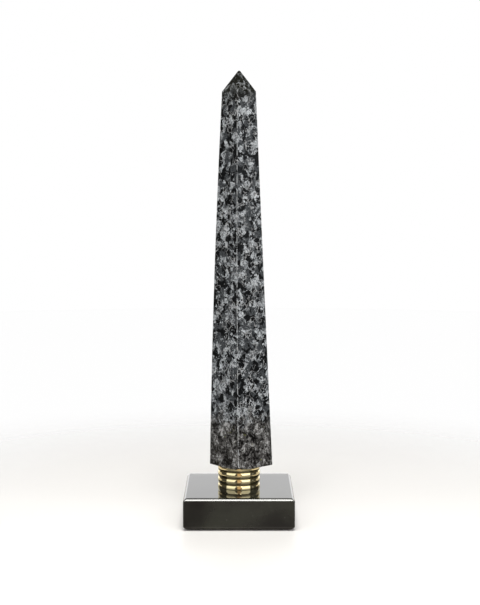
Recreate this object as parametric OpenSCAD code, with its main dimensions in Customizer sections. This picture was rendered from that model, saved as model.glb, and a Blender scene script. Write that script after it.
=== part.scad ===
// Desk obelisk: a tapering square stone shaft, turned almost edge-on, standing on a
// grooved brass collar and a bevelled square stone plinth.  One threaded rod, glued
// into the shaft and drawn tight by a nut under the plinth, holds the stack together.
// Millimetres, +Z up.  The origin is the centre of the plinth, on the surface it stands on.

/* [Plinth] */
// Length of each side of the plinth
plinth_side = 76.2; // [60:0.1:100]
// Thickness of the plinth
plinth_t = 21.6; // [18:0.1:32]
// Bevel along the top and bottom edges, cut at 45 degrees
plinth_bevel = 2.0; // [0.5:0.1:4]
// Flat along each upright edge
plinth_arris = 0.6; // [0.2:0.1:2]

/* [Collar] */
// Diameter over the crests of the ribs
collar_d = 30; // [20:0.1:40]
// Height of the collar
collar_h = 15.3; // [10:0.1:30]
// Number of grooves turned round the collar
groove_count = 3; // [1:1:4]
// Distance from one groove to the next
groove_pitch = 4.6; // [3:0.1:6]
// Radius of the rounded crest of each rib
rib_r = 4.8; // [3.5:0.1:8]
// Width of the narrow slot at the bottom of each groove
slot_w = 0.3; // [0.2:0.05:0.6]
// Depth of that slot below the ribs' edges
slot_depth = 0.4; // [0.2:0.05:1]

/* [Shaft] */
// Side of the shaft at its base
shaft_base = 31.6; // [24:0.1:40]
// Side of the shaft at its shoulder, where the point begins
shaft_top = 16.8; // [12:0.1:22]
// How much wider the shaft is, at its fullest, than a straight taper would make it
shaft_swell = 0.7; // [0:0.1:1.5]
// Height from the base at which the shaft is fullest
fullest_h = 150; // [60:1:200]
// Height from the base to the shoulder
shoulder_h = 261; // [150:1:320]
// Height of the point above the shoulder
point_h = 14.2; // [8:0.1:30]
// Width of the blunted tip
tip_flat = 1.0; // [0.6:0.1:2]
// Flat polished along each arris
shaft_arris = 0.4; // [0.2:0.05:1]
// Turn of the shaft about the vertical, from square with the plinth
shaft_turn = 40.3; // [0:0.1:90]
// How far the middle of the base stands to the right of the rod
base_shift = 1.5; // [-3:0.1:3]
// How far the middle of the shaft stands to the right of the rod where it is fullest
fullest_shift = 0.0; // [-3:0.1:3]
// How far the middle of the shoulder stands to the right of the rod
shoulder_shift = 0.0; // [-3:0.1:3]
// How far the tip stands to the right of the rod
tip_shift = 0.1; // [-3:0.1:3]
// How far in front of the rod the worn corner of the base begins
worn_from = 15; // [8:0.5:20]
// Slope of the worn corner, up from the level of the base
worn_slope = 12; // [0:0.5:30]

/* [Rod and nut] */
// Diameter of the threaded rod
rod_d = 6; // [4:0.5:8]
// Depth to which the rod is glued into the shaft
rod_in_shaft = 30; // [15:1:60]
// Length of rod that stands past the nut
rod_past_nut = 1.2; // [0.5:0.1:3]
// Clearance all round the rod in the stone, filled with glue
rod_glue_gap = 0.3; // [0.1:0.05:0.5]
// Clearance all round the rod in the collar, the washer and the plinth
rod_clearance = 0.25; // [0.1:0.05:0.5]
// Clearance all round the rod in the nut, where the threads mesh
thread_clearance = 0.05; // [0.02:0.01:0.1]
// Spare depth of the hole in the shaft past the end of the rod
hole_spare = 2; // [0.5:0.5:6]
// Outer diameter of the washer
washer_d = 18; // [12:0.5:20]
// Thickness of the washer
washer_t = 1.6; // [1:0.1:2.5]
// Width of the nut across its flats
nut_flats = 10; // [8:0.5:13]
// Thickness of the nut
nut_t = 5; // [3:0.1:7]
// Chamfer on the nut's corners
nut_chamfer = 0.6; // [0.2:0.1:1]
// Clearance all round the washer in the recess under the plinth
recess_clearance = 2; // [1:0.5:4]
// Height from the end of the rod down to the underside of the plinth
recess_spare = 1.2; // [0.5:0.1:4]

/* [Feet] */
// Diameter of each round rubber pad
pad_d = 12; // [8:0.5:16]
// Thickness of each pad
pad_t = 0.8; // [0.5:0.1:2]
// Distance from the plinth's side to the edge of each pad
pad_inset = 4; // [2.5:0.5:10]

/* [Hidden] */
$fn = 96;
// Past each end of a cut, so that no face of the cutter lies on a face of the piece
cut_past = 1;

plinth_z = pad_t;
collar_z = plinth_z + plinth_t;
shaft_z = collar_z + collar_h;
shaft_h = shoulder_h + point_h;
// Side of the shaft where it is fullest
shaft_fullest = shaft_base + (shaft_top - shaft_base) * fullest_h / shoulder_h + shaft_swell;
collar_r = collar_d / 2;
// Radius left where two ribs meet
rib_edge_r = collar_r - rib_r + sqrt(rib_r * rib_r - groove_pitch * groove_pitch / 4);

rod_end_h = washer_t + nut_t + rod_past_nut;
recess_h = rod_end_h + recess_spare;
recess_d = washer_d + 2 * recess_clearance;
recess_top_z = plinth_z + recess_h;
rod_bottom_z = recess_top_z - rod_end_h;
rod_top_z = shaft_z + rod_in_shaft;
pad_centre = plinth_side / 2 - pad_inset - pad_d / 2;
pad_corners = [[-1, -1], [1, -1], [1, 1], [-1, 1]];

// A hole on the rod's axis, from z1 up to z2
module rod_hole(gap, z1, z2) {
    translate([0, 0, z1])
        cylinder(d = rod_d + 2 * gap, h = z2 - z1);
}

// Heights of the shaft's four levels, and how far the middle of each stands to the right
level_h = [0, fullest_h, shoulder_h, shaft_h];
level_shift = [base_shift, fullest_shift, shoulder_shift, tip_shift];
level_side = [shaft_base, shaft_fullest, shaft_top, tip_flat];

// A prism whose outline, seen along Y, is the shaft's side view with the given half
// widths at its four levels, when the shaft is turned by the angle.
module shaft_prism(halves, angle) {
    length = 2 * shaft_base;
    middle = level_shift * cos(angle);
    rotate([0, 0, angle])
        translate([0, length / 2, 0])
            rotate([90, 0, 0])
                linear_extrude(height = length)
                    polygon(concat(
                        [for (i = [0 : 3]) [middle[i] + halves[i], level_h[i]]],
                        [for (i = [3 : -1 : 0]) [middle[i] - halves[i], level_h[i]]]
                    ));
}

// Two opposite sides of the shaft, and of the point above them
module shaft_sides(angle) {
    shaft_prism(level_side / 2, angle);
}

// The flats on two opposite arrises, which run out at the tip
module shaft_arrises(angle) {
    flat = [shaft_arris, shaft_arris, shaft_arris, 0];
    shaft_prism(level_side / sqrt(2) - flat / 2, angle);
}

// What is worn away from the underside of the shaft's front corner
module worn_corner() {
    reach = 2 * shaft_base;
    translate([0, -worn_from, shaft_z])
        rotate([-worn_slope, 0, 0])
            translate([-reach / 2, -reach, -shaft_base])
                cube([reach, reach, shaft_base]);
}

// The shaft and its point are one stone
module shaft() {
    color([0.27, 0.26, 0.29])
        difference() {
            translate([0, 0, shaft_z])
                intersection() {
                    shaft_sides(shaft_turn);
                    shaft_sides(shaft_turn - 90);
                    shaft_arrises(shaft_turn + 45);
                    shaft_arrises(shaft_turn - 45);
                }
            worn_corner();
            rod_hole(rod_glue_gap, shaft_z - cut_past, rod_top_z + hole_spare);
        }
}

// Half of the collar's section: rounded ribs between the grooves, slotted where they meet
module collar_section() {
    half_h = collar_h / 2;
    first_rib = -groove_count * groove_pitch / 2;
    difference() {
        union() {
            translate([0, -half_h])
                square([rib_edge_r, collar_h]);
            intersection() {
                translate([0, -half_h])
                    square([collar_r, collar_h]);
                for (i = [0 : groove_count])
                    intersection() {
                        translate([collar_r - rib_r, first_rib + i * groove_pitch])
                            circle(r = rib_r);
                        translate([collar_r - rib_r, first_rib + (i - 0.5) * groove_pitch])
                            square([rib_r, groove_pitch]);
                    }
            }
        }
        for (i = [0 : groove_count - 1])
            translate([rib_edge_r - slot_depth, first_rib + (i + 0.5) * groove_pitch - slot_w / 2])
                square([slot_depth + rib_r, slot_w]);
    }
}

module collar() {
    color([0.86, 0.72, 0.42])
        difference() {
            translate([0, 0, collar_z + collar_h / 2])
                rotate_extrude()
                    collar_section();
            rod_hole(rod_clearance, collar_z - cut_past, shaft_z + cut_past);
        }
}

// A bar with the plinth's bevelled outline, lying along Y
module bevelled_bar() {
    half = plinth_side / 2;
    b = plinth_bevel;
    rotate([90, 0, 0])
        linear_extrude(height = 2 * plinth_side, center = true)
            polygon([
                [b - half, 0], [half - b, 0], [half, b], [half, plinth_t - b],
                [half - b, plinth_t], [b - half, plinth_t], [-half, plinth_t - b], [-half, b]
            ]);
}

// The plinth's outline from above, with its four upright edges taken off
module plinth_outline() {
    cut_side = plinth_side * sqrt(2) - sqrt(2) * plinth_arris;
    intersection() {
        square(plinth_side, center = true);
        rotate(45)
            square(cut_side, center = true);
    }
}

module plinth() {
    color([0.13, 0.13, 0.12])
        difference() {
            translate([0, 0, plinth_z])
                intersection() {
                    bevelled_bar();
                    rotate([0, 0, 90])
                        bevelled_bar();
                    linear_extrude(height = plinth_t)
                        plinth_outline();
                }
            rod_hole(rod_clearance, plinth_z - cut_past, collar_z + cut_past);
            translate([0, 0, plinth_z - cut_past])
                cylinder(d = recess_d, h = recess_h + cut_past);
        }
}

module threaded_rod() {
    color([0.7, 0.71, 0.72])
        translate([0, 0, rod_bottom_z])
            cylinder(d = rod_d, h = rod_top_z - rod_bottom_z);
}

module washer() {
    color([0.74, 0.75, 0.76])
        difference() {
            translate([0, 0, recess_top_z - washer_t])
                cylinder(d = washer_d, h = washer_t);
            rod_hole(rod_clearance, recess_top_z - washer_t - cut_past, recess_top_z + cut_past);
        }
}

// A hexagon nut with its corners turned off at both ends
module nut() {
    nut_z = recess_top_z - washer_t - nut_t;
    corner_r = nut_flats / sqrt(3);
    color([0.74, 0.75, 0.76])
        difference() {
            translate([0, 0, nut_z])
                intersection() {
                    cylinder(r = corner_r, h = nut_t, $fn = 6);
                    rotate_extrude()
                        polygon([
                            [0, 0], [corner_r - nut_chamfer, 0], [corner_r, nut_chamfer / 2],
                            [corner_r, nut_t - nut_chamfer / 2], [corner_r - nut_chamfer, nut_t], [0, nut_t]
                        ]);
                }
            rod_hole(thread_clearance, nut_z - cut_past, nut_z + nut_t + cut_past);
        }
}

// One round pad, in the corner of the underside that the number gives
module foot_pad(i) {
    color([0.09, 0.1, 0.09])
        translate([pad_corners[i - 1][0] * pad_centre, pad_corners[i - 1][1] * pad_centre, 0])
            cylinder(d = pad_d, h = pad_t);
}

shaft();
collar();
plinth();
threaded_rod();
washer();
nut();
foot_pad(1);  // foot_pad_1
foot_pad(2);  // foot_pad_2
foot_pad(3);  // foot_pad_3
foot_pad(4);  // foot_pad_4
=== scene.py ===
"""The looks of a desk obelisk: a mottled gabbro shaft on a grooved brass collar and a black marble plinth.

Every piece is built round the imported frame's own boxes and corners. Lengths are in metres, apart from
the scales of the materials' patterns, which are so many to the millimetre.
"""
import math
import random
from types import SimpleNamespace

import bpy
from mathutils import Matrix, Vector, noise


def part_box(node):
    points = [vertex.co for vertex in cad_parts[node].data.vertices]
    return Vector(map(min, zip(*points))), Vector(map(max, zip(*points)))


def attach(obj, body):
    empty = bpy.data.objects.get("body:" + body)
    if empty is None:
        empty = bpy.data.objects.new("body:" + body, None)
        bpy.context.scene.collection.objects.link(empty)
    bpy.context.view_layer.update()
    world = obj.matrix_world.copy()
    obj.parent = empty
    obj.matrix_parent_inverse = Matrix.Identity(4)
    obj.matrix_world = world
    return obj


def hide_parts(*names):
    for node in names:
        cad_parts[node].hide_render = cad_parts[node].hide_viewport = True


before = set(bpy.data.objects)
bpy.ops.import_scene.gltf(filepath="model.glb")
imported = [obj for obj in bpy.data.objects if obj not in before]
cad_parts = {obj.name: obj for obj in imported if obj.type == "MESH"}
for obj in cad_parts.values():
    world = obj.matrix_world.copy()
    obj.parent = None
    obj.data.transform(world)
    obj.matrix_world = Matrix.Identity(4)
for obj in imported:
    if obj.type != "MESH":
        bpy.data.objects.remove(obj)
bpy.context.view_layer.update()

MM = 0.001
TAU = 2 * math.pi

# Points along each flat side of a square ring, and round each of its corners
SIDE_N = 13
CORNER_N = 5

# Rings up the shaft's sides and up its point, and how far its arrises and its rim are eased
SHAFT_STEPS = 520
POINT_STEPS = 46
SHAFT_EASE = 0.35 * MM
RIM_EASE = 0.25 * MM

# What the polished pieces mirror low down beside and behind them, of the floor and of the room
PALE_SURROUND = (0.72, 0.66, 0.60, 1)


# ---------------------------------------------------------------- meshes

def square_ring(half, radius, z, centre=(0, 0), turn=0.0, side_n=SIDE_N):
    """Points round a square with rounded corners, packed closer together towards the corners."""
    flat = half - radius
    steps = [math.sin(math.pi / 2 * (2 * i / (side_n - 1) - 1)) for i in range(side_n)]
    quarter = [(half, flat * s) for s in steps]
    for i in range(1, CORNER_N + 1):
        a = math.pi / 2 * i / (CORNER_N + 1)
        quarter.append((flat + radius * math.cos(a), flat + radius * math.sin(a)))
    ring = []
    for k in range(4):
        c, s = math.cos(turn + k * math.pi / 2), math.sin(turn + k * math.pi / 2)
        ring += [Vector((centre[0] + c * x - s * y, centre[1] + s * x + c * y, z)) for x, y in quarter]
    return ring


def round_ring(radius, z, like=None, count=96, centre=(0, 0)):
    """Points round a circle. Given another ring, each point lies in the direction of that ring's own."""
    if like is None:
        angles = [TAU * i / count for i in range(count)]
    else:
        angles = [math.atan2(p.y - centre[1], p.x - centre[0]) for p in like]
    return [Vector((centre[0] + radius * math.cos(a), centre[1] + radius * math.sin(a), z)) for a in angles]


def eased(points, radius, steps=4):
    """The same outline of (across, up) points, with an arc of that radius at each inner corner."""
    out = [points[0]]
    for before, here, after in zip(points, points[1:], points[2:]):
        p = Vector(here)
        to_before, to_after = Vector(before) - p, Vector(after) - p
        reach = min(radius, to_before.length * 0.45, to_after.length * 0.45)
        a, b = p + to_before.normalized() * reach, p + to_after.normalized() * reach
        for i in range(steps + 1):
            t = i / steps
            out.append(tuple(a * (1 - t) ** 2 + p * 2 * t * (1 - t) + b * t * t))
    out.append(points[-1])
    return out


def crowned(a, b, rise, steps=10):
    """Points from a to b on a shallow arc that stands proud of the line, to its left, by the rise."""
    a, b = Vector(a), Vector(b)
    out = (b - a).normalized()
    out = Vector((-out.y, out.x))
    points = []
    for i in range(steps + 1):
        t = i / steps
        points.append(tuple(a.lerp(b, t) + out * rise * 4 * t * (1 - t)))
    return points


def stack(name, rings, closed_start=False, closed_end=False, loop=False):
    """A mesh of quads between rings that all have the same number of points."""
    n = len(rings[0])
    last = (len(rings) - 1) * n
    verts = [p for ring in rings for p in ring]
    faces = []
    for start in range(0, last, n):
        for i in range(n):
            j = (i + 1) % n
            faces.append((start + i, start + j, start + n + j, start + n + i))
    if loop:
        faces += [(last + i, last + (i + 1) % n, (i + 1) % n, i) for i in range(n)]
    for wanted, start, flip in ((closed_start, 0, True), (closed_end, last, False)):
        if wanted:
            middle = len(verts)
            verts.append(sum(verts[start:start + n], Vector()) / n)
            for i in range(n):
                a, b = start + i, start + (i + 1) % n
                faces.append((b, a, middle) if flip else (a, b, middle))
    mesh = bpy.data.meshes.new(name)
    mesh.from_pydata([tuple(v) for v in verts], [], faces)
    mesh.update()
    mesh.validate()
    piece = bpy.data.objects.new(name, mesh)
    bpy.context.scene.collection.objects.link(piece)
    for p in mesh.polygons:
        p.use_smooth = True
    return piece


def keep_flats(piece):
    """Large flat faces shade flat, and the small easings between them shade round."""
    m = piece.modifiers.new("flats", "WEIGHTED_NORMAL")
    m.mode = "FACE_AREA"
    m.weight = 100


def mark(piece, name, values):
    """Give each of the mesh's points a value that its material can read."""
    attribute = piece.data.attributes.new(name, "FLOAT", "POINT")
    attribute.data.foreach_set("value", values)


def place(piece, node, material):
    """Show the piece, in its material, in place of the CAD node."""
    piece.data.materials.append(material)
    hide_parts(node)
    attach(piece, "root")


# ---------------------------------------------------------------- node helpers

class Nodes:
    """Short calls for building a node tree."""

    def __init__(self, tree):
        self.tree = tree
        self.tree.nodes.clear()

    def add(self, kind, **settings):
        node = self.tree.nodes.new(kind)
        for key, value in settings.items():
            setattr(node, key, value)
        return node

    def link(self, a, b):
        self.tree.links.new(a, b)

    def put(self, node, socket, value):
        if hasattr(value, "is_output"):
            self.link(value, node.inputs[socket])
        else:
            node.inputs[socket].default_value = value

    def math(self, op, a, b=0.0, clamp=False):
        node = self.add("ShaderNodeMath", operation=op, use_clamp=clamp)
        self.put(node, 0, a)
        self.put(node, 1, b)
        return node.outputs[0]

    def where(self, kind="Object"):
        """The place on the surface, in metres, or the direction in the world as Generated."""
        return self.add("ShaderNodeTexCoord").outputs[kind]

    def split(self, vector):
        node = self.add("ShaderNodeSeparateXYZ")
        self.put(node, 0, vector)
        return node.outputs

    def attribute(self, name):
        return self.add("ShaderNodeAttribute", attribute_name=name).outputs["Fac"]

    def ray(self, kind):
        return self.add("ShaderNodeLightPath").outputs[kind]

    def vector(self, op, a, b=(0, 0, 0), scale=None):
        node = self.add("ShaderNodeVectorMath", operation=op)
        self.put(node, 0, a)
        if scale is None:
            self.put(node, 1, b)
        else:
            self.put(node, "Scale", scale)
        return node.outputs[0]

    def noise(self, where, scale, detail=3.0, rough=0.5, distortion=0.0, colour=False):
        node = self.add("ShaderNodeTexNoise")
        self.put(node, "Vector", where)
        self.put(node, "Scale", scale)
        self.put(node, "Detail", detail)
        self.put(node, "Roughness", rough)
        self.put(node, "Distortion", distortion)
        return node.outputs["Color" if colour else "Fac"]

    def cells(self, where, scale, feature="F1", output="Distance"):
        node = self.add("ShaderNodeTexVoronoi", feature=feature)
        self.put(node, "Vector", where)
        self.put(node, "Scale", scale)
        return node.outputs[output]

    def band(self, value, low, high, to_low=0.0, to_high=1.0):
        """A smooth step as the value goes from low to high. With low above high it steps the other way."""
        node = self.add("ShaderNodeMapRange", interpolation_type="SMOOTHSTEP")
        for socket, v in (("Value", value), ("From Min", low), ("From Max", high),
                          ("To Min", to_low), ("To Max", to_high)):
            self.put(node, socket, v)
        return node.outputs[0]

    def mix(self, factor, a, b):
        node = self.add("ShaderNodeMix", data_type="RGBA")
        self.put(node, 0, factor)
        self.put(node, 6, a)
        self.put(node, 7, b)
        return node.outputs[2]

    def bump(self, height, strength, distance):
        node = self.add("ShaderNodeBump")
        self.put(node, "Strength", strength)
        self.put(node, "Distance", distance)
        self.put(node, "Height", height)
        return node.outputs[0]


def new_material(name):
    """A material, its nodes, its shader, and the place on the surface in millimetres."""
    material = bpy.data.materials.new(name)
    material.use_nodes = True
    nodes = Nodes(material.node_tree)
    shader = nodes.add("ShaderNodeBsdfPrincipled")
    out = nodes.add("ShaderNodeOutputMaterial")
    nodes.link(shader.outputs[0], out.inputs[0])
    in_mm = nodes.vector("SCALE", nodes.where(), scale=1 / MM)
    return material, nodes, shader, in_mm


def grey(v, warm=0.0):
    """A linear grey, a little warmer (or cooler, below nought) than neutral."""
    return (v * (1 + warm), v, v * (1 - warm), 1)


# ---------------------------------------------------------------- materials

def gabbro():
    """Polished mottled gabbro: pale curds with ragged, sharp edges in a near-black ground.

    Towards the foot the stone turns finer, browner and lower in contrast, and its point is darker.
    """
    low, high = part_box("shaft")
    foot_top, foot_solid = low.z + 57.3 * MM, low.z + 42.3 * MM
    tip_from, tip_solid = high.z - 24.9 * MM, high.z - 12.9 * MM
    material, n, shader, p = new_material("mottled_gabbro")
    # The patterns' own grid is tilted, so that none of its planes lies level or square with a face
    tilt = n.add("ShaderNodeMapping")
    tilt.inputs["Rotation"].default_value = (0.61, 0.47, 0.29)
    n.put(tilt, "Vector", p)
    p = tilt.outputs[0]
    z = n.split(n.where())[2]
    ragged_z = n.math("ADD", z, n.math("MULTIPLY", n.noise(p, 0.12, 3.0), 30 * MM))
    at_foot = n.band(ragged_z, foot_top, foot_solid)

    def shifted(scale, amount, detail):
        """Where to look a pattern up: the place, pushed about by a noise."""
        push = n.vector("SUBTRACT", n.noise(p, scale, detail, colour=True), (0.5, 0.5, 0.5))
        return n.vector("SCALE", push, scale=amount)

    warped = n.vector("ADD", n.vector("ADD", p, shifted(0.22, 4.5, 1.0)), shifted(0.9, 1.8, 2.0))
    # Interlocking crystals about 4 mm across. Each one shifts the pattern and the tones inside it.
    crystal = n.add("ShaderNodeSeparateColor")
    n.put(crystal, 0, n.cells(n.vector("ADD", p, shifted(0.5, 3.0, 3.0)), 0.27, output="Color"))
    shift, tone, kind = crystal.outputs
    patch = n.noise(warped, 0.19, 2.0, 0.5)
    curd = n.noise(warped, 0.50, 4.0, 0.6)
    fine_curd = n.noise(warped, 1.15, 4.0, 0.62)
    form = n.math("ADD", n.math("MULTIPLY", patch, 0.55), n.math("MULTIPLY", curd, 0.45))
    form = n.math("ADD", form, n.math("MULTIPLY", n.math("SUBTRACT", shift, 0.5), 0.15))
    form = n.math("ADD", form, n.math("MULTIPLY", n.math("SUBTRACT", n.noise(p, 0.055, 2.0), 0.5), 0.18))
    # The stone at the point is darker than the rest
    near_tip = n.band(z, tip_from, tip_solid)
    form = n.math("SUBTRACT", form, n.math("MULTIPLY", near_tip, 0.04))
    is_pale = n.band(form, 0.536, 0.543)

    # Pale curds: white at heart, greyer in some crystals than in others
    inner = n.noise(n.vector("ADD", warped, (40, 0, 0)), 0.85, 4.0, 0.68)
    white = n.math("ADD", n.band(inner, 0.38, 0.64, 0.0, 0.80), n.math("MULTIPLY", tone, 0.45))
    pale = n.mix(n.math("SUBTRACT", white, 0.16, clamp=True), grey(0.048, -0.10), grey(0.70, -0.065))
    # Dark ground: black, with angular mid-grey grains in it
    mottle = n.noise(warped, 1.5, 4.0, 0.66)
    ground = n.mix(n.band(mottle, 0.48, 0.72), grey(0.0020, -0.14), grey(0.031, -0.12))
    grain = n.mix(n.band(mottle, 0.38, 0.62), grey(0.013, -0.12), grey(0.105, -0.09))
    dark = n.mix(n.band(kind, 0.56, 0.57), ground, grain)
    colour = n.mix(is_pale, dark, pale)
    # Thin pale seams that wander round the darker grains
    seam = n.cells(warped, 0.24, "DISTANCE_TO_EDGE")
    seam = n.math("MULTIPLY", n.band(seam, 0.045, 0.015), n.band(n.noise(p, 0.13, 2.0), 0.50, 0.56))
    colour = n.mix(n.math("MULTIPLY", seam, 0.8), colour, grey(0.48, -0.03))
    # The foot's finer stone, swirled, with a few small olive grains
    swirl = n.math("ADD", n.math("MULTIPLY", fine_curd, 0.32), n.math("MULTIPLY", curd, 0.38))
    swirl = n.math("ADD", swirl, n.math("MULTIPLY", n.noise(warped, 0.16, 2.0), 0.30))
    foot = n.mix(n.band(swirl, 0.46, 0.50), grey(0.002, 0.05), grey(0.075, 0.02))
    foot = n.mix(n.band(swirl, 0.52, 0.60), foot, grey(0.44, -0.01))
    olive = n.band(n.noise(n.vector("ADD", p, (9, 4, 31)), 0.30, 2.0), 0.70, 0.73)
    foot = n.mix(n.math("MULTIPLY", olive, 0.55), foot, (0.16, 0.17, 0.045, 1))
    colour = n.mix(at_foot, colour, foot)
    # Painted highlight along the arrises: paler, and broken by small nicks. The arrises are also rougher,
    # ground but not polished
    on_arris = n.band(n.attribute("arris"), 0.84, 0.97)
    worn = n.math("MULTIPLY", on_arris, n.band(n.noise(p, 0.40, 4.0, 0.7), 0.44, 0.52))
    colour = n.mix(n.math("MULTIPLY", worn, 0.62), colour, grey(0.5, -0.05))
    # The point's darker stone is a dull olive
    colour = n.mix(n.math("MULTIPLY", near_tip, 0.55), colour, (0.012, 0.012, 0.007, 1))
    n.put(shader, "Base Color", colour)
    polish = n.band(n.noise(p, 2.2, 3.0), 0.3, 0.7, 0.06, 0.12)
    n.put(shader, "Roughness", n.math("ADD", n.math("MULTIPLY", worn, 0.3), polish))
    shader.inputs["IOR"].default_value = 1.5
    # A few open pits
    pits = n.band(n.cells(p, 1.4), 0.10, 0.0)
    pits = n.math("MULTIPLY", pits, n.band(n.noise(p, 0.5, 2.0), 0.56, 0.66))
    n.put(shader, "Normal", n.bump(pits, 0.25, 0.05 * MM))
    return material


def marble():
    """Polished black marble: faint olive-grey clouds, and a few tiny specks."""
    material, n, shader, p = new_material("black_marble")
    cloud = n.noise(n.vector("ADD", p, (22, 0, 0)), 0.022, 4.0, 0.5, 0.4)
    colour = n.mix(n.band(cloud, 0.40, 0.66), grey(0.0035, 0.06), (0.021, 0.022, 0.017, 1))
    fine = n.noise(p, 0.5, 4.0, 0.6)
    colour = n.mix(n.band(fine, 0.48, 0.78, 0.0, 0.25), colour, grey(0.035, 0.06))
    speck = n.band(n.cells(p, 0.45), 0.10, 0.04)
    speck = n.math("MULTIPLY", speck, n.band(n.noise(p, 0.22, 2.0), 0.60, 0.64))
    colour = n.mix(n.math("MULTIPLY", speck, 0.5), colour, grey(0.35, 0.03))
    n.put(shader, "Base Color", colour)
    n.put(shader, "Roughness", n.band(n.noise(p, 0.9, 4.0), 0.3, 0.7, 0.03, 0.06))
    shader.inputs["IOR"].default_value = 1.5
    return material


def brass():
    """Polished turned brass: fine rings left by the lathe, and tarnish in the grooves."""
    material, n, shader, p = new_material("polished_brass")
    tarnish = n.noise(p, 0.5, 5.0, 0.6)
    colour = n.mix(n.band(tarnish, 0.4, 0.75, 0.0, 0.5), (0.90, 0.79, 0.47, 1), (0.80, 0.67, 0.34, 1))
    groove = n.attribute("groove")
    colour = n.mix(n.math("MULTIPLY", groove, 0.8), colour, (0.17, 0.12, 0.035, 1))
    n.put(shader, "Base Color", colour)
    shader.inputs["Metallic"].default_value = 1.0
    polish = n.band(tarnish, 0.35, 0.75, 0.07, 0.12)
    n.put(shader, "Roughness", n.math("ADD", polish, n.math("MULTIPLY", groove, 0.3)))
    lines = n.add("ShaderNodeTexNoise", noise_dimensions="1D")
    n.put(lines, "W", n.split(p)[2])
    n.put(lines, "Scale", 16.0)
    n.put(lines, "Detail", 3.0)
    n.put(shader, "Normal", n.bump(lines.outputs[0], 0.08, 0.01 * MM))
    return material


def steel():
    """Bright zinc plating on the rod, the washer and the nut."""
    material, n, shader, p = new_material("zinc_plated_steel")
    spangle = n.noise(p, 1.1, 4.0, 0.6)
    colour = n.mix(n.band(spangle, 0.4, 0.7), (0.52, 0.53, 0.55, 1), (0.70, 0.71, 0.73, 1))
    n.put(shader, "Base Color", colour)
    shader.inputs["Metallic"].default_value = 1.0
    n.put(shader, "Roughness", n.band(spangle, 0.3, 0.7, 0.24, 0.4))
    return material


def rubber():
    """Matt black foot pads with a fine moulded grain."""
    material, n, shader, p = new_material("black_rubber")
    grain = n.noise(p, 3.0, 4.0, 0.6)
    n.put(shader, "Base Color", n.mix(grain, grey(0.012), grey(0.03)))
    n.put(shader, "Roughness", n.band(grain, 0.3, 0.7, 0.6, 0.8))
    n.put(shader, "Normal", n.bump(grain, 0.4, 0.05 * MM))
    return material


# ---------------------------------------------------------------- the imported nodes' own shapes

def node_points(node):
    """The CAD node's own vertices."""
    return [v.co.copy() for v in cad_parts[node].data.vertices]


def at_height(points, z):
    """Those of the points that lie at that height."""
    return [p for p in points if abs(p.z - z) < 0.01 * MM]


def bore_radius(points):
    """How near any of the points comes to the rod's axis."""
    return min(math.hypot(p.x, p.y) for p in points)


def outline_at(points, z, beyond=0.0):
    """The points at that height, each once, that lie further than that from the rod's axis."""
    found = {}
    for p in at_height(points, z):
        if math.hypot(p.x, p.y) > beyond:
            found[(round(p.x, 6), round(p.y, 6))] = p
    return list(found.values())


def square_at(points):
    """Centre, half side and turn of the square whose corners, cut off or not, are the points."""
    middle = sum(points, Vector()) / len(points)
    ring = sorted(points, key=lambda p: math.atan2(p.y - middle.y, p.x - middle.x))
    a, b = max(zip(ring, ring[1:] + ring[:1]), key=lambda e: (e[1] - e[0]).length)
    along = (b - a).normalized()
    across = Vector((along.y, -along.x, 0))
    centre, half = Vector(), 0
    for way in (along, across):
        reached = [p.dot(way) for p in points]
        centre += way * (min(reached) + max(reached)) / 2
        half = (max(reached) - min(reached)) / 2
    return (centre.x, centre.y), half, math.atan2(along.y, along.x) - math.pi / 2


def read_shaft():
    """The shaft's levels, its hole and its worn corner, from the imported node's own corners."""
    low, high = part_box("shaft")
    points = node_points("shaft")
    heights = sorted({round(p.z, 6) for p in points})
    shape = SimpleNamespace(low_z=low.z, high_z=high.z)
    shape.hole_r = bore_radius(at_height(points, low.z))
    shape.hole_top = next(z for z in heights if low.z + 10 * MM < z < high.z - 20 * MM)
    shape.shoulder_z = next(z for z in reversed(heights) if z < high.z - 2 * MM)
    shape.fullest_z = next(z for z in reversed(heights) if z < shape.shoulder_z - 2 * MM)
    base_points = outline_at(points, low.z, shape.hole_r * 1.5)
    shape.base = square_at(base_points)
    shape.fullest = square_at(outline_at(points, shape.fullest_z))
    shape.shoulder = square_at(outline_at(points, shape.shoulder_z))
    shape.tip = square_at(outline_at(points, high.z))
    # The worn corner's underside slopes up to the frontmost vertex from the base's frontmost one
    front = min(points, key=lambda p: p.y)
    shape.worn_from = min(p.y for p in base_points)
    shape.worn_slope = (front.z - low.z) / max(shape.worn_from - front.y, 1 * MM)
    return shape


# ---------------------------------------------------------------- pieces

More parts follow.
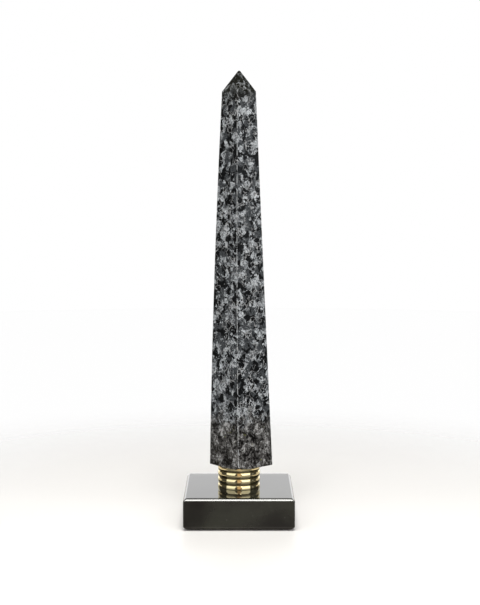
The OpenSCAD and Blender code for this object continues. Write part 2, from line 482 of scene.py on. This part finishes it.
def shaft_rings(shape):
    """The rings inside the rod's hole and under the base, and the rings up the sides and the point."""
    fullest_t = (shape.fullest_z - shape.low_z) / (shape.shoulder_z - shape.low_z)
    turn = shape.base[2]
    worn_fade = 8 * MM
    tip_ease, crown_ease = 0.18 * MM, 0.03 * MM

    def weighed(squares, weights, z):
        """The outline whose centre and size are those of the squares, in these shares."""
        centre = [sum(w * s[0][i] for s, w in zip(squares, weights)) for i in (0, 1)]
        half = sum(w * s[1] for s, w in zip(squares, weights))
        return square_ring(half, min(SHAFT_EASE, half * 0.6), z, centre, turn)

    def swelling(t, z):
        """The sides' outline: one smooth curve through the base, the fullest height and the shoulder."""
        shares = ((t - fullest_t) * (t - 1) / fullest_t,
                  t * (t - 1) / (fullest_t * (fullest_t - 1)),
                  t * (t - fullest_t) / (1 - fullest_t))
        return weighed((shape.base, shape.fullest, shape.shoulder), shares, z)

    def worn(ring):
        """The ring once the front corner of the base is worn away. The wear fades out up the sides."""
        out = []
        for p in ring:
            lift = max(0, (shape.worn_from - p.y) * shape.worn_slope)
            lift *= max(0, 1 - (p.z - shape.low_z) / worn_fade)
            out.append(p + Vector((0, 0, lift)))
        return out

    outside = []
    for i in range(SHAFT_STEPS + 1):
        t = i / SHAFT_STEPS
        outside.append(swelling(t, shape.low_z + (shape.shoulder_z - shape.low_z) * t))
    for i in range(1, POINT_STEPS + 1):
        t = i / POINT_STEPS
        z = shape.shoulder_z + (shape.high_z - shape.shoulder_z) * t
        outside.append(weighed((shape.shoulder, shape.tip), (1 - t, t), z))
    # The bottom edge is eased, and so is the tip, under a small crown
    foot, last = outside[0], outside[-1]
    middle = Vector((*shape.base[0], shape.low_z))
    rim = [middle + (p - middle) * (1 - RIM_EASE / shape.base[1]) for p in foot]
    outside[0] = [p + Vector((0, 0, RIM_EASE)) for p in foot]
    crown = [p.lerp(Vector((*shape.tip[0], p.z)), 0.45) for p in last]
    outside[-1] = [Vector((p.x, p.y, shape.high_z - tip_ease)) for p in last]
    outside.append([Vector((p.x, p.y, shape.high_z - crown_ease)) for p in crown])

    hole = round_ring(shape.hole_r, shape.low_z, like=rim)
    hole_end = round_ring(shape.hole_r, shape.hole_top, like=rim)
    half_way = [p.lerp(q, 0.4) for p, q in zip(rim, hole)]
    inside = [hole_end, hole, worn(half_way), worn(rim)]
    return inside, [worn(ring) for ring in outside]


def hand_finish(vertices, shape, rings_n):
    """Make the outer rings' faces very slightly wavy, and knock small nicks out of the arrises."""
    n = len(vertices) // rings_n
    per_side = n // 4
    step = (shape.shoulder_z - shape.low_z) / SHAFT_STEPS
    wave_height, nick_count = 0.035 * MM, 46

    def outward(p):
        return (p - Vector((*shape.base[0], p.z))).normalized()

    random.seed(7)
    nicks = []
    for _ in range(nick_count):
        ring_at = random.randint(0, SHAFT_STEPS)
        corner = SIDE_N + CORNER_N // 2 + per_side * random.randrange(4)
        nicks.append((ring_at, corner, random.uniform(0.35, 1.1) * MM, random.uniform(0.05, 0.2) * MM))
    for v in vertices:
        wave = noise.noise(v.co / (26 * MM) + Vector((3, 5, 7)))
        wave += 0.35 * noise.noise(v.co / (9 * MM) + Vector((11, 2, 4)))
        v.co += outward(v.co) * wave * wave_height
    for ring_at, corner, radius, depth in nicks:
        centre = vertices[ring_at * n + corner].co.copy()
        reach = int(radius / step) + 2
        first, after = max(0, ring_at - reach), min(rings_n, ring_at + reach + 1)
        for v in vertices[first * n:after * n]:
            d = (v.co - centre).length / radius
            if d < 1:
                v.co -= outward(v.co) * depth * (1 - d * d)


def make_shaft(material):
    """The tapering stone. Its sides swell slightly, and the underside of its front corner is worn away.

    Its lapped faces are very slightly wavy, and its eased arrises have a few small nicks.
    """
    shape = read_shaft()
    inside, outside = shaft_rings(shape)
    piece = stack("obelisk_shaft", inside + outside, closed_start=True, closed_end=True)
    n = len(outside[0])
    first, after = len(inside) * n, (len(inside) + len(outside)) * n
    hand_finish(piece.data.vertices[first:after], shape, len(outside))
    # The arrises, from the base to the shoulder, are marked for the material's painted arris highlight and
    # rougher finish
    per_side = n // 4
    arris = [0.0] * len(piece.data.vertices)
    for at in range((SHAFT_STEPS + 1) * n):
        within = at % per_side
        if within >= SIDE_N - 1 or within == 0:
            arris[first + at] = 1.0
    mark(piece, "arris", arris)
    place(piece, "shaft", material)


def make_collar(material):
    """One turned brass spacer. Rounded ribs meet in narrow slots, and the end ribs are cut short."""
    low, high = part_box("collar")
    radius = high.x
    bore = bore_radius(node_points("collar"))
    grooves, pitch, rib_r = 3, 4.6 * MM, 4.8 * MM
    slot, slot_depth = 0.3 * MM, 0.4 * MM
    ease = 0.12 * MM
    tarnish_reach, edge_tarnish = 0.3 * MM, 0.6
    steps, count = 26, 224
    middle = (low.z + high.z) / 2
    profile, in_groove = [], []

    def add(r, z, groove=0.0):
        profile.append((r, z))
        in_groove.append(groove)

    def rib_at(up):
        """The radius of a rib, so far up or down from its middle."""
        return radius - rib_r + math.sqrt(rib_r ** 2 - up ** 2)

    edge_r = rib_at(pitch / 2)
    slot_levels = (edge_r - slot_depth * 0.6, edge_r - slot_depth)
    add(bore, low.z + ease)
    add(bore + ease, low.z)
    for rib in range(grooves + 1):
        centre = middle + (rib - grooves / 2) * pitch
        bottom = max(low.z, centre - pitch / 2 + slot / 2)
        top = min(high.z, centre + pitch / 2 - slot / 2)
        if rib == 0:
            add(rib_at(bottom - centre) - ease, bottom)
            bottom += ease
        if rib == grooves:
            top -= ease
        for i in range(steps + 1):
            z = bottom + (top - bottom) * i / steps
            near = min(z - bottom if rib else 1, top - z if rib < grooves else 1)
            add(rib_at(z - centre), z, max(0.0, 1 - near / tarnish_reach) * edge_tarnish)
        if rib < grooves:
            for r in slot_levels:
                add(r, top, 1.0)
            for r in reversed(slot_levels):
                add(r, top + slot, 1.0)
        else:
            add(rib_at(high.z - centre) - ease, high.z)
    add(bore + ease, high.z)
    add(bore, high.z - ease)
    rings = [round_ring(r, z, count=count) for r, z in profile]
    piece = stack("brass_collar", rings, loop=True)
    mark(piece, "groove", [g for g in in_groove for _ in range(count)])
    place(piece, "collar", material)
    keep_flats(piece)


def make_plinth(material):
    """A sawn and polished slab: eased bevels, a hole for the rod and a recess for its nut."""
    low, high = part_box("plinth")
    points = node_points("plinth")
    half = high.x
    top = at_height(points, high.z)
    bevel = half - max(p.x for p in top)
    hole_r = bore_radius(top)
    recess_r = bore_radius(at_height(points, low.z))
    recess_z = max(p.z for p in points
                   if p.z < high.z - 0.1 * MM and math.hypot(p.x, p.y) < recess_r + MM)
    crown, arris, hole_ease = 0.11 * MM, 0.7 * MM, 0.3 * MM
    margin = bevel * 3
    shares = (0.0, 0.35, 0.7)
    # The outline over the top bevel, down the side and round the low bevel, as (from the middle, up)
    outer = [(half - margin, high.z)]
    outer += crowned((half - bevel, high.z), (half, high.z - bevel), crown)
    outer += crowned((half, low.z + bevel), (half - bevel, low.z), crown)
    outer.append((half - margin, low.z))
    sides = [square_ring(r, arris, z, side_n=21) for r, z in outer]
    like = sides[0]

    def between(share, z, square):
        """A ring that goes from a circle round the recess to the square, by that share."""
        circle = round_ring(recess_r + MM, z, like=square)
        return [Vector((*c.lerp(s, share).xy, z)) for c, s in zip(circle, square)]

    def hole(radius, z):
        return round_ring(radius, z, like=like)

    # From the rod's hole over the top, down the sides and in under the slab to the recess
    rings = [hole(hole_r, recess_z), hole(hole_r, high.z - hole_ease), hole(hole_r + hole_ease, high.z)]
    rings += [between(s, high.z, sides[0]) for s in shares]
    rings += sides
    rings += [between(s, low.z, sides[-1]) for s in reversed(shares)]
    rings += [hole(recess_r + hole_ease, low.z), hole(recess_r, low.z + hole_ease)]
    rings += [hole(recess_r, recess_z), hole(recess_r - MM, recess_z)]
    piece = stack("marble_plinth", rings, loop=True)
    place(piece, "plinth", material)
    keep_flats(piece)


def make_rod(material):
    """The rod with its real thread: a helix whose depth follows the height within each turn."""
    low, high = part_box("threaded_rod")
    radius, pitch, depth = high.x, 1.0 * MM, 0.61 * MM
    # The share of the pitch that isn't crest, the share of a full V that is cut, and the ends' chamfer
    flanks, cut_share, chamfer = 0.875, 0.8, 0.8 * MM
    count, per_turn = 40, 8
    rings_n = int((high.z - low.z) / pitch * per_turn)
    rings = []
    for r in range(rings_n + 1):
        z = low.z + (high.z - low.z) * r / rings_n
        end = min(z - low.z, high.z - z)
        ring = []
        for i in range(count):
            a = TAU * i / count
            turn = (z / pitch - i / count) % 1.0
            cut = max(0.0, 1 - abs(turn - 0.5) * 2 / flanks)
            cut = min(cut, cut_share) / cut_share
            level = min(radius - depth * cut, radius - chamfer + end)
            ring.append(Vector((level * math.cos(a), level * math.sin(a), z)))
        rings.append(ring)
    piece = stack("rod_thread", rings, closed_start=True, closed_end=True)
    place(piece, "threaded_rod", material)


def make_washer(material):
    """A punched washer with eased edges."""
    low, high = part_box("washer")
    bore = bore_radius(node_points("washer"))
    middle = (low.z + high.z) / 2
    seam = 0.01 * MM
    outline = [(bore, middle), (bore, low.z), (high.x, low.z),
               (high.x, high.z), (bore, high.z), (bore, middle + seam)]
    rings = [round_ring(r, z) for r, z in eased(outline, 0.25 * MM)]
    piece = stack("steel_washer", rings, loop=True)
    place(piece, "washer", material)
    keep_flats(piece)


def make_nut(material):
    """A hexagon nut. Its corners are turned off by a cone at each end."""
    low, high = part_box("nut")
    corner, flats, height = high.x, high.y, high.z - low.z
    bore = bore_radius(node_points("nut"))
    chamfer, mouth = 0.6 * MM, 0.4 * MM
    count = 120

    def hex_ring(z):
        limit = corner - chamfer + 2 * min(z - low.z, high.z - z)
        ring = []
        for i in range(count):
            a = TAU * i / count
            r = min(flats / math.cos(a % (math.pi / 3) - math.pi / 6), limit)
            ring.append(Vector((r * math.cos(a), r * math.sin(a), z)))
        return ring

    # Levels up the side, closer together where the cones cut it
    levels = (0.0, 0.02, 0.04, 0.07, 0.12, 0.3, 0.5, 0.7, 0.88, 0.93, 0.96, 0.98, 1.0)
    rings = [round_ring(bore, low.z + mouth, count=count), round_ring(bore + mouth, low.z, count=count)]
    rings += [hex_ring(low.z + height * s) for s in levels]
    rings += [round_ring(bore + mouth, high.z, count=count), round_ring(bore, high.z - mouth, count=count)]
    piece = stack("steel_nut", rings, loop=True)
    place(piece, "nut", material)
    keep_flats(piece)


def make_pad(i, material):
    """A round stick-on rubber foot with eased edges."""
    node = f"foot_pad_{i}"
    low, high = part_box(node)
    centre = ((low.x + high.x) / 2, (low.y + high.y) / 2)
    radius = (high.x - low.x) / 2
    inner, half_way = radius * 0.05, radius * 0.6
    outline = [(inner, low.z), (half_way, low.z), (radius, low.z),
               (radius, high.z), (half_way, high.z), (inner, high.z)]
    rings = [round_ring(r, z, count=72, centre=centre) for r, z in eased(outline, 0.25 * MM)]
    piece = stack(f"pad_{i}", rings, closed_start=True, closed_end=True)
    place(piece, node, material)
    keep_flats(piece)


# ---------------------------------------------------------------- stage, lights and camera

def make_floor():
    """A pale floor that fades into the white surround. To glossy rays its colour is a painted reflection of
    a warm table top, with a painted pool of light in a strip in front.
    """
    floor = stack("floor", [round_ring(r, 0.0) for r in (0.02, 0.08, 0.2, 0.4, 0.8, 1.5)], closed_start=True)
    material = bpy.data.materials.new("floor")
    material.use_nodes = True
    n = Nodes(material.node_tree)
    shader = n.add("ShaderNodeBsdfPrincipled")
    shader.inputs["Roughness"].default_value = 0.5
    x, y, _ = n.split(n.where())
    away = n.vector("LENGTH", n.where()).node.outputs["Value"]
    # Painted reflection, seen only by glossy rays: a painted pool of light in a strip in front, darker to
    # the sides, and the pale surround beside and behind the object
    off_strip = n.math("ABSOLUTE", n.math("SUBTRACT", x, 0.010))
    painted_reflection = n.mix(n.band(off_strip, 0.080, 0.0), (0.120, 0.108, 0.095, 1), (0.375, 0.350, 0.315, 1))
    beside = n.math("MULTIPLY", n.band(away, 0.165, 0.135), n.band(y, -0.055, -0.030))
    behind = n.band(n.math("DIVIDE", y, away), 0.24, 0.36)
    painted_reflection = n.mix(n.math("MAXIMUM", beside, behind), painted_reflection, PALE_SURROUND)
    n.put(shader, "Base Color", n.mix(n.ray("Is Glossy Ray"), grey(0.86, 0.01), painted_reflection))
    # The floor fades out from 0.12 m to 0.45 m away, all but a trace
    fade = n.add("ShaderNodeMixShader")
    n.put(fade, 0, n.band(away, 0.12, 0.45, 0.0, 0.985))
    n.link(shader.outputs[0], fade.inputs[1])
    n.link(n.add("ShaderNodeBsdfTransparent").outputs[0], fade.inputs[2])
    n.link(fade.outputs[0], n.add("ShaderNodeOutputMaterial").inputs[0])
    floor.data.materials.append(material)


def make_world():
    """A white surround. Mirrored, it is a bright backdrop behind and a dim, warm room in front.

    x, y and z are a direction, as shares of 1: to the right, away to the back, and up.
    """
    world = bpy.data.worlds.new("studio")
    bpy.context.scene.world = world
    world.use_nodes = True
    n = Nodes(world.node_tree)
    x, y, z = n.split(n.where("Generated"))

    def near(value, middle, half, soft):
        """1 within that half width of the middle, with soft edges."""
        return n.band(n.math("ABSOLUTE", n.math("SUBTRACT", value, middle)), half + soft, half - soft)

    def both(a, b):
        return n.math("MULTIPLY", a, b)

    backdrop = both(n.band(y, 0.62, 0.80), n.band(z, 0.62, 0.45))
    low_behind = both(n.band(y, 0.24, 0.36), n.band(z, 0.12, 0.04))
    veil_on_right = both(both(near(y, -0.165, 0.09, 0.03), n.band(x, 0.5, 0.7)), near(z, 0.11, 0.12, 0.05))
    room_in_front = both(near(x, 0.02, 0.17, 0.06), n.band(y, -0.5, -0.6))
    seen = n.mix(room_in_front, (0.06, 0.058, 0.055, 1), (0.64, 0.46, 0.31, 1))
    seen = n.mix(veil_on_right, seen, (0.24, 0.25, 0.26, 1))
    seen = n.mix(low_behind, seen, PALE_SURROUND)
    seen = n.mix(backdrop, seen, grey(1.65))
    seen = n.mix(n.ray("Is Camera Ray"), seen, grey(1.0))
    background = n.add("ShaderNodeBackground")
    n.put(background, "Color", seen)
    n.link(background.outputs[0], n.add("ShaderNodeOutputWorld").inputs[0])


def softbox(name, centre, target, width, height, radiance, tint=(1, 1, 1)):
    """An area light that faces the target."""
    light = bpy.data.lights.new(name, "AREA")
    light.shape = "RECTANGLE"
    light.size, light.size_y = width, height
    light.energy = radiance * math.pi * width * height
    light.color = tint
    lamp = bpy.data.objects.new(name, light)
    lamp.location = centre
    lamp.rotation_euler = (Vector(centre) - Vector(target)).to_track_quat("Z", "Y").to_euler()
    lamp.visible_camera = False
    bpy.context.scene.collection.objects.link(lamp)


def make_lights():
    """A small strong softbox above and in front, and a large soft one on each side of the camera."""
    softbox("overhead", (0, -0.335, 1.05), (0, -0.336, 0), 0.42, 0.28, radiance=26, tint=(1, 0.99, 0.95))
    away, aim_z, height = 1.1, 0.10, 1.25
    elevation = math.radians(26)
    # Each side light reaches from its inner to its outer edge, in degrees round from the front
    sides = (("front_left", -1, 20, 72, 1.15), ("front_right", 1, 14, 64, 1.6))
    for name, side, inner, outer, radiance in sides:
        azimuth = math.radians((inner + outer) / 2 * side)
        level = away * math.cos(elevation)
        centre = (level * math.sin(azimuth), -level * math.cos(azimuth), aim_z + away * math.sin(elevation))
        width = 2 * away * math.tan(math.radians((outer - inner) / 2))
        softbox(name, centre, (0, 0, aim_z), width, height, radiance)


def make_camera():
    """The camera is 0.85 m in front of the plinth's middle, 0.23 m above its underside, looking down."""
    away, up = 0.8509, 0.2329
    pitch, yaw = math.radians(5.43), math.radians(-0.049)
    data = bpy.data.cameras.new("camera")
    data.sensor_width = 36
    data.lens = 72.7
    camera = bpy.data.objects.new("camera", data)
    camera.location = (0, -away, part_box("plinth")[0].z + up)
    camera.rotation_euler = (math.pi / 2 - pitch, 0, yaw)
    bpy.context.scene.collection.objects.link(camera)
    bpy.context.scene.camera = camera


make_shaft(gabbro())
make_collar(brass())
make_plinth(marble())
zinc = steel()
make_rod(zinc)
make_washer(zinc)
make_nut(zinc)
pad_rubber = rubber()
for number in range(1, 5):
    make_pad(number, pad_rubber)

make_floor()
make_world()
make_lights()
make_camera()

bpy.context.scene.view_settings.view_transform = "Standard"
